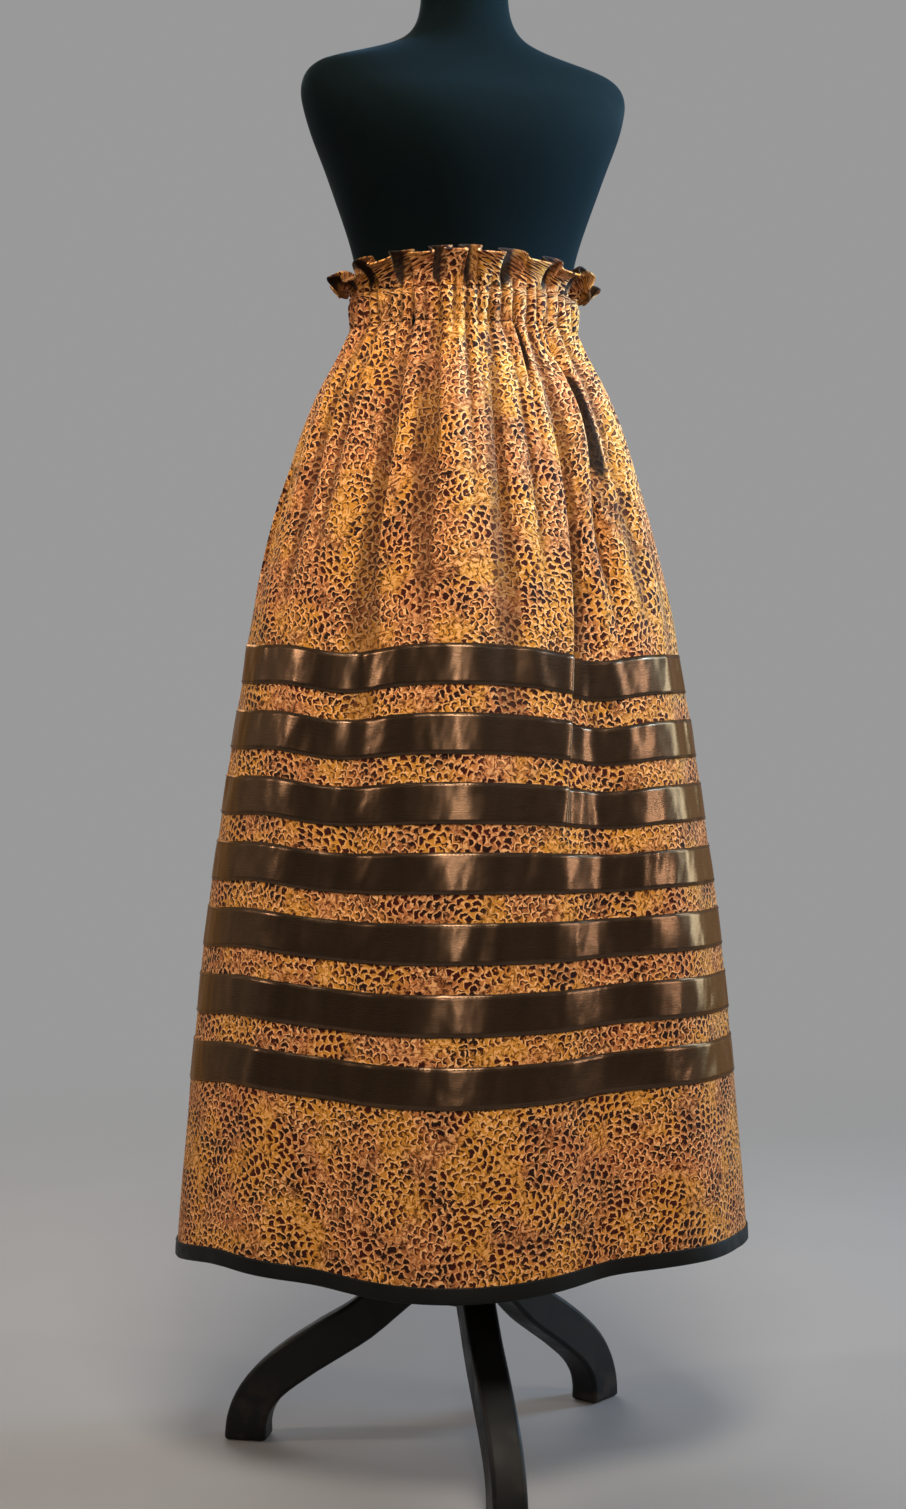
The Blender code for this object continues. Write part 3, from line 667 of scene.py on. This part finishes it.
def satin():
    made, g, shader = new_material("satin")
    flat = g.uv()
    x, y, _ = g.apart(flat)
    streaks = g.noise(g.together(g.math("MULTIPLY", x, 30.0), g.math("MULTIPLY", y, 2600.0)), 1.0, 2.0)
    drift = g.noise(g.together(g.math("MULTIPLY", x, 60.0), g.math("MULTIPLY", y, 14.0)), 1.0, 2.0)
    g.feed(shader.inputs["Base Color"], g.mix(drift, (0.175, 0.104, 0.062), (0.085, 0.054, 0.036)))
    g.feed(shader.inputs["Roughness"], g.math("MULTIPLY_ADD", streaks, 0.08, 0.235))
    shader.inputs["Metallic"].default_value = 0.9
    ripples = g.noise(g.together(g.math("MULTIPLY", x, 52.0), g.math("MULTIPLY", y, 30.0)), 1.0, 1.5)
    soft = g.bump(ripples, 0.0027, 0.5)
    g.feed(shader.inputs["Normal"], g.bump(streaks, 0.00003, 0.07, soft))
    shader.inputs["Specular IOR Level"].default_value = 0.55
    shader.inputs["Specular Tint"].default_value = (1.0, 0.62, 0.38, 1.0)
    return made


def binding_cloth():
    made, g, shader = new_material("black_binding")
    flat = g.uv()
    shade = g.noise(flat, 60.0, 3.0)
    g.feed(shader.inputs["Base Color"], g.mix(shade, (0.0020, 0.0028, 0.0028), (0.0045, 0.0052, 0.0045)))
    g.feed(shader.inputs["Roughness"], g.stretch(shade, 0.3, 0.7, 0.50, 0.64))
    weave = g.node("ShaderNodeGroup", node_tree=bpy.data.node_groups["weave"])
    g.feed(weave.inputs["Vector"], flat)
    g.feed(shader.inputs["Normal"], g.bump(weave.outputs["Height"], 0.0001, 0.5))
    shader.inputs["Specular IOR Level"].default_value = 0.22
    return made


def flock():
    made, g, shader = new_material("flock")
    place = g.place()
    nap = g.noise(place, 7.0, 3.0)
    fibres = g.noise(place, 1500.0, 2.0)
    g.feed(shader.inputs["Base Color"], g.mix(nap, (0.0010, 0.0032, 0.0042), (0.0024, 0.0062, 0.0068)))
    g.feed(shader.inputs["Roughness"], g.stretch(nap, 0.3, 0.7, 0.86, 0.98))
    g.feed(shader.inputs["Normal"], g.bump(fibres, 0.0004, 0.6))
    shader.inputs["Sheen Weight"].default_value = 0.05
    shader.inputs["Sheen Roughness"].default_value = 0.30
    shader.inputs["Sheen Tint"].default_value = (0.40, 0.78, 1.0, 1.0)
    shader.inputs["Specular IOR Level"].default_value = 0.06
    return made


def black_wood():
    made, g, shader = new_material("black_painted_wood")
    place = g.place()
    _, _, z = g.apart(place)
    along = g.vector("MULTIPLY", place, (60.0, 60.0, 320.0))
    grain = g.noise(along, 1.0)
    worn = g.noise(place, 38.0, 4.0)
    low = g.math("MULTIPLY", g.stretch(z, 0.085, 0.01), g.stretch(worn, 0.48, 0.66))
    base = g.mix(g.math("MULTIPLY", low, 0.5), (0.0020, 0.0026, 0.0034), (0.050, 0.034, 0.024))
    g.feed(shader.inputs["Base Color"], base)
    g.feed(shader.inputs["Roughness"], g.stretch(worn, 0.3, 0.7, 0.40, 0.58))
    g.feed(shader.inputs["Normal"], g.bump(grain, 0.0003, 0.35))
    shader.inputs["Specular IOR Level"].default_value = 0.3
    return made


def thread(name, colour):
    made, g, shader = new_material(name)
    fuzz = g.noise(g.place(), 2500.0, 2.0)
    dull = tuple(c * 0.7 for c in colour)
    g.feed(shader.inputs["Base Color"], g.mix(fuzz, colour, dull))
    shader.inputs["Roughness"].default_value = 0.6
    return made


# The skirt


PANEL_COLUMNS = 256
PANEL_ROWS = 186
RING_COLUMNS = 640

# Where columns stand closer together, for the sharpest folds: the turn, the width and how much closer
Dense = namedtuple("Dense", "turn width share")
DENSE = (Dense(48.5, 3.2, 3.6), Dense(29.5, 4.0, 1.6), Dense(-81.5, 3.0, 0.8))


def uneven_turns(first_turn, last_turn, count):
    """Turns from first to last, closer together at the dense places."""
    fine = np.linspace(first_turn, last_turn, 4001)
    density = 1 + sum(bump(fine, d.turn, d.width) * d.share for d in DENSE)
    share = np.concatenate([[0.0], np.cumsum((density[1:] + density[:-1]) / 2)])
    return np.interp(np.linspace(0, share[-1], count + 1), share, fine)


def make_panel(name, node, first_turn, material):
    turns = uneven_turns(first_turn, first_turn + 180.0, PANEL_COLUMNS)
    up = np.linspace(0, 1, PANEL_ROWS + 1)
    turn, height = grid_of(turns, HEM + (WAIST - 0.3 * MM - HEM) * (1.35 * up - 0.35 * up**2))
    points = cloth(turn, height)
    points[:, [0, -1], 1] += math.copysign(SIDE_SEAM / 2, first_turn)
    middle = int(np.argmin(np.abs(turns - first_turn - 90.0)))
    # Painted shade in the fold valleys of the upper skirt, and painted shadow deep in the pleats' recesses
    shade = valley_shade(points, (3, 5, 8)) * smooth_step(0.55, 0.85, height)
    shade = shade + 1.7 * smooth_step(0.48, 0.80, pleat_move(turn, height)[2])
    made = sewn_sheet(name, points, cut_map(points, middle), False, CLOTH, -1, shade)
    return finish_piece(made, material, "print_cotton", node)


def ribbon_top(index):
    return FIRST_RIBBON - index * (RIBBON + BETWEEN) * SLOPE


def ring_turns():
    return uneven_turns(-90.0, 270.0, RING_COLUMNS)


def make_ribbon(index, material):
    """One ribbon all round, on the cloth's own ripples, with its two long edges drawn down by the sewing."""
    top = ribbon_top(index)
    up = np.linspace(0, 1, 9)
    turn, height = grid_of(ring_turns(), top - RIBBON * SLOPE * (1 - up))
    crown = 0.15 * MM * np.sqrt(np.sin(math.pi * up))[:, None]
    points = over_cloth(turn, height, ON_CLOTH + crown + 0 * turn)
    cut = cut_map(points, 0) + (index * 0.37, index * 0.21)
    made = sewn_sheet(f"ribbon_satin_{index + 1}", points, cut, True, RIBBON_WALL, 1)
    return finish_piece(made, material, "satin_ribbon", f"ribbon_{index + 1}")


def make_binding(material):
    """The folded strip over the hem: up outside the cloth, round under its edge, and up inside."""
    leg = BINDING - 2 * MM
    outer = ON_CLOTH + BINDING_WALL
    inner = CLOTH + 0.4 * MM + BINDING_WALL
    half = (outer + inner) / 2
    up = np.linspace(0, 1, 29)
    bend = np.clip((up - 0.42) / 0.16, 0.0, 1.0) * math.pi
    rise = np.where(up < 0.5, np.clip((0.42 - up) / 0.42, 0, 1), np.clip((up - 0.58) / 0.42, 0, 1)) * leg
    out = outer - half + half * np.cos(bend) + 0.25 * MM * np.sin(math.pi * rise / leg) * np.cos(bend)
    turn, height = grid_of(ring_turns(), HEM + 1.0 * MM + rise)
    points = over_cloth(turn, height, out[:, None] + 0 * turn)
    points[:, :, 2] -= (half * 0.75 * np.sin(bend))[:, None]
    points = points[::-1]
    made = sewn_sheet("hem_binding_strip", points, cut_map(points, 0), True, BINDING_WALL, -1)
    return finish_piece(made, material, "hem_binding", "hem_binding")


# How much of the way the casing's low edge goes out to the skirt's top edge
MEET = 0.9
CASING_COLUMNS = GATHERS * 13
CASING_ROWS = 22


def casing_rise(turn, up):
    """How far the casing stands out from the form, in metres: its gathers, pinched by two rows of sewing."""
    ridge, _ = gather_ridge(turn, WAIST + CASING * up)
    small = soft_noise(turn / 1.7, up * 4.0, 23) * 0.35
    low, high = (np.exp(-0.5 * ((up - seam) / 0.05) ** 2) for seam in CASING_SEAMS)
    pinch = 1 - 0.30 * low - 0.35 * high
    return CASING_WALL + (GATHER_DEPTH * (ridge - 0.25) * pinch + small + 0.5 * np.sin(math.pi * up)) * MM


def casing_point(turn, up, lift=0.0):
    """A place on the casing, whose low edge meets the gathers of the skirt sewn to it."""
    x, y = oval(turn, *WAIST_SIZES, FORM_YAW, casing_rise(turn, up) + lift)
    low = cloth(turn, WAIST + 0 * turn)
    meet = MEET * (1 - smooth_step(0.0, 0.75, up))
    x, y = x + (low[..., 0] - x) * meet, y + (low[..., 1] - y) * meet
    return np.stack([x, y, WAIST + CASING * up + 0 * x], axis=-1)


def make_casing(material):
    turn, up = grid_of(np.linspace(-90, 270, CASING_COLUMNS + 1), np.linspace(0, 1, CASING_ROWS + 1))
    points = casing_point(turn, up)
    cut = cut_map(points, CASING_COLUMNS // 4) + (0.0, WAIST - HEM)
    # Painted shade in the valleys of the casing's gathers
    shade = valley_shade(points, (3, 6))
    made = sewn_sheet("waist_casing_cloth", points, cut, True, CASING_CLOTH, -1, shade)
    return finish_piece(made, material, "print_cotton", "waist_casing")


def frill_curl(turn):
    """How far the frill has bent outwards at its free edge: it stands in front and flops at the sides."""
    side = np.abs(np.sin(np.radians(turn - FORM_YAW / 2)))
    upright = np.where(np.cos(np.radians(turn)) > 0, 28.0, 36.0)
    return np.radians(upright + (140.0 - upright) * side**4)


def frill_phase(turn):
    """The run of the frill's waves: each spans a full circle of it."""
    angle = np.radians(turn)
    return FRILL_WAVES * angle + 0.9 * np.sin(3 * angle + 0.4) + 0.6 * np.sin(7 * angle)


def frill_place(turn, up):
    """A place on the frill: up is 0 at its seam and 1 at its free edge."""
    angle = np.radians(turn)
    curl = frill_curl(turn)
    length = FRILL * (1 - 0.12 * np.sin(angle) ** 2) * (1 + 0.05 * np.sin(5 * angle + 1.0))
    length = length * (1 + 0.035 * soft_noise(turn / 7.0, 0 * turn, 35))
    phase = frill_phase(turn)
    boxy = np.tanh(1.7 * np.cos(phase))
    wave = FRILL_WAVE * up**0.7 * (0.30 + boxy) * (0.85 + 0.25 * np.sin(4 * angle + 0.5))
    wave += (gather_ridge(turn, WAIST + CASING + 0 * up)[0] - 0.25) * GATHER_DEPTH * 0.7 * (1 - up) ** 1.4
    wave += soft_noise(turn / 4.0, up * 2.0, 31) * 1.3 * up + soft_noise(turn / 1.9, up * 2.5, 33) * 0.45
    wave = wave * MM
    lap = (FRILL_LAP * np.sin(2 * phase) + 0.9 * soft_noise(turn / 6.0, 0 * turn, 37)) * MM * up
    out = length / curl * (1 - np.cos(curl * up)) + wave * np.cos(curl * up)
    rise = length / curl * np.sin(curl * up) - wave * up * np.sin(curl * up)
    base = [size + CASING_WALL / 2 for size in WAIST_SIZES]
    x, y = oval(turn + np.degrees(lap / base[0]), *base, FORM_YAW, out)
    return np.stack([x, y, WAIST + CASING + FRILL_SEAT + rise], axis=-1)


def make_frill(material):
    turn, up = grid_of(np.linspace(-90, 270, 937), np.linspace(0, 1, 21))
    points = frill_place(turn, up)
    cut = cut_map(points, 234) + (0.0, WAIST + CASING - HEM)
    # Painted shade: one side of each frill wave, more towards its free edge, is darkened on top of the painted
    # shade of its valleys
    shaded_wave_side = smooth_step(0.35, 0.95, np.sin(frill_phase(turn) - 0.6))
    shade = valley_shade(points, (6, 14, 24)) + 1.7 * shaded_wave_side * up**0.5
    made = sewn_sheet("waist_frill_cloth", points, cut, True, FRILL_WALL, 0, shade)
    return finish_piece(made, material, "print_cotton", "waist_frill")


STITCH = 2.6 * MM
STITCH_PITCH = 3.4 * MM
STITCH_HALF = 0.22 * MM
STITCH_RISE = 0.3 * MM
SEAM_IN = 2.0 * MM
THREAD = 0.25 * MM

# The casing's length round its gathers, and the heights of its two seams as shares of its own
CASING_ROUND = 0.68
CASING_SEAMS = (0.06, 0.90)


def make_stitches(name, material, slot, rows):
    """Rows of small stitches in one mesh. Each row has two functions from shares of the way round to points,
    on the cloth and just above it, and a length all round."""
    made = bmesh.new()
    for low_points, high_points, length in rows:
        count = int(length / STITCH_PITCH)
        share = np.arange(count) / count
        reach = STITCH / length / 2
        starts, ends = low_points(share - reach), low_points(share + reach)
        tops = high_points(share)
        for start, end, top in zip(starts, ends, tops):
            along = Vector(end - start)
            out = (Vector(top) - (Vector(start) + Vector(end)) / 2).normalized()
            side = along.cross(out).normalized() * STITCH_HALF
            middle = [made.verts.new(Vector(top) + side), made.verts.new(Vector(top) - side)]
            tip_a, tip_b = made.verts.new(Vector(start)), made.verts.new(Vector(end))
            made.faces.new((tip_a, middle[0], middle[1]))
            made.faces.new((tip_b, middle[1], middle[0]))
    mesh = bpy.data.meshes.new(name)
    made.to_mesh(mesh)
    made.free()
    stitches = bpy.data.objects.new(name, mesh)
    bpy.context.scene.collection.objects.link(stitches)
    solid = stitches.modifiers.new("thread", "SOLIDIFY")
    solid.thickness = THREAD
    solid.offset = 0
    return finish_piece(stitches, material, slot)


def ring_rows(height_outs, length):
    """Stitch rows round the skirt at given heights and distances off the cloth."""

    def ring(share, height, out):
        return over_cloth(360.0 * share, np.full_like(share, height), np.full_like(share, out))

    return [
        (partial(ring, height=height, out=out), partial(ring, height=height, out=out + STITCH_RISE), length)
        for height, out in height_outs
    ]


def casing_rows():
    """The two stitch rows that hold the casing."""

    def ring(share, up, lift):
        return casing_point(360.0 * share, np.full_like(share, up), lift)

    return [
        (partial(ring, up=up, lift=0.05 * MM), partial(ring, up=up, lift=0.40 * MM), CASING_ROUND)
        for up in CASING_SEAMS
    ]


def make_skirt():
    cotton, shine, black = printed_cotton(), satin(), binding_cloth()
    dark_thread = thread("dark_thread", (0.030, 0.022, 0.018))
    ochre_thread = thread("ochre_thread", (0.30, 0.17, 0.07))
    front = make_panel("skirt_front_cloth", "skirt_front", -90.0, cotton)
    back = make_panel("skirt_back_cloth", "skirt_back", 90.0, cotton)
    ribbons = [make_ribbon(index, shine) for index in range(RIBBONS)]
    binding = make_binding(black)
    casing = make_casing(cotton)
    frill = make_frill(cotton)
    edges = []
    for index in range(RIBBONS):
        out = ON_CLOTH + RIBBON_WALL + 0.12 * MM
        edges.append((ribbon_top(index) - SEAM_IN, out))
        edges.append((ribbon_top(index) - RIBBON * SLOPE + SEAM_IN, out))
    ribbon_rows = ring_rows(edges, FLAT_RIBBON)
    ribbon_seams = make_stitches("ribbon_stitches", dark_thread, "satin_ribbon", ribbon_rows)
    binding_seam = [(HEM + BINDING - SEAM_IN, ON_CLOTH + BINDING_WALL + 0.1 * MM)]
    hem_seam = make_stitches("hem_stitches", dark_thread, "hem_binding", ring_rows(binding_seam, FLAT_HEM))
    waist_seam = make_stitches("casing_stitches", ochre_thread, "print_cotton", casing_rows())
    return front, back, ribbons, binding, casing, frill, ribbon_seams, hem_seam, waist_seam


# The dress form and its stand


def merged_copy(node, name):
    """A copy of a solid's mesh with its doubles merged and its flat faces whole."""
    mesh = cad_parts[node].data.copy()
    made = bmesh.new()
    made.from_mesh(mesh)
    bmesh.ops.remove_doubles(made, verts=made.verts, dist=0.00002)
    made.to_mesh(mesh)
    made.free()
    mesh.name = name
    return mesh


def make_form(material):
    """The torso, rounded from the solid's own slices."""
    mesh = merged_copy("dress_form", "dress_form_flock")
    made = bmesh.new()
    made.from_mesh(mesh)
    bmesh.ops.join_triangles(
        made, faces=made.faces, angle_face_threshold=math.radians(60), angle_shape_threshold=math.radians(180)
    )
    crease = made.edges.layers.float.new("crease_edge")
    low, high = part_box("dress_form")
    for edge in made.edges:
        heights = [v.co.z for v in edge.verts]
        if max(heights) < low[2] + 0.0005 or min(heights) > high[2] - 0.0005:
            edge[crease] = 0.6
    made.to_mesh(mesh)
    made.free()
    mesh.shade_smooth()
    torso = bpy.data.objects.new("dress_form_flock", mesh)
    bpy.context.scene.collection.objects.link(torso)
    rounded = torso.modifiers.new("rounded", "SUBSURF")
    rounded.levels = rounded.render_levels = 2
    return finish_piece(torso, material, "black_flock", "dress_form")


def make_bevelled(node, name, width, material):
    """A stand piece with its sawn or turned edges eased."""
    mesh = merged_copy(node, name)
    made = bmesh.new()
    made.from_mesh(mesh)
    bmesh.ops.dissolve_limit(made, angle_limit=math.radians(1.5), verts=made.verts, edges=made.edges)
    made.to_mesh(mesh)
    made.free()
    piece = bpy.data.objects.new(name, mesh)
    bpy.context.scene.collection.objects.link(piece)
    eased = piece.modifiers.new("eased", "BEVEL")
    eased.width = width
    eased.segments = 3
    eased.limit_method = "ANGLE"
    eased.angle_limit = math.radians(40)
    mesh.shade_smooth()
    mesh.set_sharp_from_angle(angle=math.radians(60))
    return finish_piece(piece, material, "black_wood", node)


def make_stand(material):
    for node in ("leg_front", "leg_left", "leg_right_back"):
        make_bevelled(node, f"{node}_eased", 4 * MM, material)
    make_bevelled("hub", "hub_turned", 1.5 * MM, material)
    make_bevelled("pole", "pole_round", 0.8 * MM, material)


# The studio


BACKDROP = 0.319
BACKDROP_FRONT = 0.045
Light = namedtuple("Light", "name place aim width height watts spread colour")
LIGHTS = (
    Light("key", (0.10, -1.45, 2.75), (0, 0, 1.25), 0.9, 0.9, 11.0, 70, (1.0, 0.90, 0.75)),
    Light("front_soft", (0.5, -3.0, 1.9), (0, 0, 0.9), 1.8, 1.4, 2, 180, (1.0, 0.84, 0.70)),
    Light("front_strip", (0.14, -3.1, 1.5), (0, 0, 0.7), 0.06, 1.7, 18, 180, (1.0, 0.84, 0.68)),
    Light("left_strip", (-2.7, -0.46, 1.8), (0, 0, 0.9), 0.16, 1.1, 21, 180, (1.0, 0.80, 0.62)),
    Light("right_strip", (2.6, -0.70, 1.4), (0, 0, 0.7), 0.08, 1.8, 17, 180, (1.0, 0.82, 0.68)),
    Light("cool_rim", (2.3, 1.0, 1.4), (0.1, 0, 0.9), 0.5, 2.2, 40, 180, (0.50, 0.76, 1.0)),
    Light("cool_torso", (1.7, -0.1, 1.8), (0.12, 0, 1.32), 0.4, 0.4, 7, 40, (0.35, 0.66, 1.0)),
    Light("back_fill", (-0.8, 2.9, 2.4), (0, 0, 0.7), 1.8, 1.8, 40, 180, (1.0, 0.96, 0.90)),
)


def area_light(name, place, aim, width, height, watts, spread, colour):
    data = bpy.data.lights.new(name, "AREA")
    data.energy = watts
    data.color = colour
    data.shape = "RECTANGLE"
    data.size = width
    data.size_y = height
    data.spread = math.radians(spread)
    made = bpy.data.objects.new(name, data)
    made.location = place
    made.rotation_euler = (Vector(aim) - Vector(place)).to_track_quat("-Z", "Y").to_euler()
    bpy.context.scene.collection.objects.link(made)
    return made


def surround_group():
    """How bright the studio is in each direction: pale behind the skirt's back, darker before its front."""
    tree, g, given, out = group_in_out(
        "surround", (("Vector", "Vector", None),), (("Brightness", "Float", None),)
    )
    _, y, _ = g.apart(g.vector("NORMALIZE", given.outputs["Vector"]))
    g.feed(out.inputs["Brightness"], g.stretch(y, 0.6, -0.3, BACKDROP, BACKDROP_FRONT))
    return tree


def make_studio():
    made = bmesh.new()
    bmesh.ops.create_circle(made, cap_ends=True, segments=96, radius=9.0)
    mesh = bpy.data.meshes.new("floor")
    made.to_mesh(mesh)
    made.free()
    floor = bpy.data.objects.new("floor", mesh)
    floor.location.z = -0.0005
    bpy.context.scene.collection.objects.link(floor)
    paint, g, shader = new_material("floor_paint")
    place = g.place()
    mottle = g.noise(place, 3.0, 3.0)
    g.feed(shader.inputs["Base Color"], g.mix(mottle, (0.325, 0.325, 0.338), (0.36, 0.36, 0.374)))
    shader.inputs["Roughness"].default_value = 0.95
    shader.inputs["Specular IOR Level"].default_value = 0.1
    surround = surround_group()
    far = g.node("ShaderNodeGroup", {"Vector": place}, node_tree=surround)
    glow = g.node("ShaderNodeEmission", {"Strength": far.outputs["Brightness"]})
    away = g.vector("LENGTH", place)
    blend = g.node("ShaderNodeMixShader", {"Fac": g.stretch(away, 0.9, 2.6)})
    g.feed(blend.inputs[1], shader.outputs[0])
    g.feed(blend.inputs[2], glow.outputs[0])
    g.feed(paint.node_tree.nodes["Material Output"].inputs["Surface"], blend.outputs[0])
    mesh.materials.append(paint)
    bpy.context.scene.view_settings.view_transform = "Standard"
    world = bpy.data.worlds.new("studio")
    bpy.context.scene.world = world
    world.use_nodes = True
    g = Graph(world.node_tree)
    sky = g.node("ShaderNodeGroup", {"Vector": g.place()}, node_tree=surround)
    background = world.node_tree.nodes["Background"]
    background.inputs["Color"].default_value = (1.0, 1.0, 1.0, 1.0)
    g.feed(background.inputs["Strength"], sky.outputs["Brightness"])
    for light in LIGHTS:
        area_light(*light)


def make_camera():
    lens = FOCAL_PIXELS / FRAME_H * SENSOR
    data = bpy.data.cameras.new("camera")
    data.lens = lens
    data.sensor_width = SENSOR
    camera = bpy.data.objects.new("camera", data)
    camera.location = (0.0, -CAMERA_DISTANCE, CAMERA_HEIGHT)
    down = math.atan((FRAME_H / 2 - HORIZON_PIXEL) / FOCAL_PIXELS)
    pan = math.atan((AXIS_PIXEL - FRAME_W / 2) / FOCAL_PIXELS)
    camera.rotation_euler = (math.radians(90) - down, 0.0, pan)
    bpy.context.scene.collection.objects.link(camera)
    bpy.context.scene.camera = camera


make_camera()
make_studio()
weave_group()
front, back, ribbons, binding, casing, frill, *_ = make_skirt()
make_form(flock())
make_stand(black_wood())
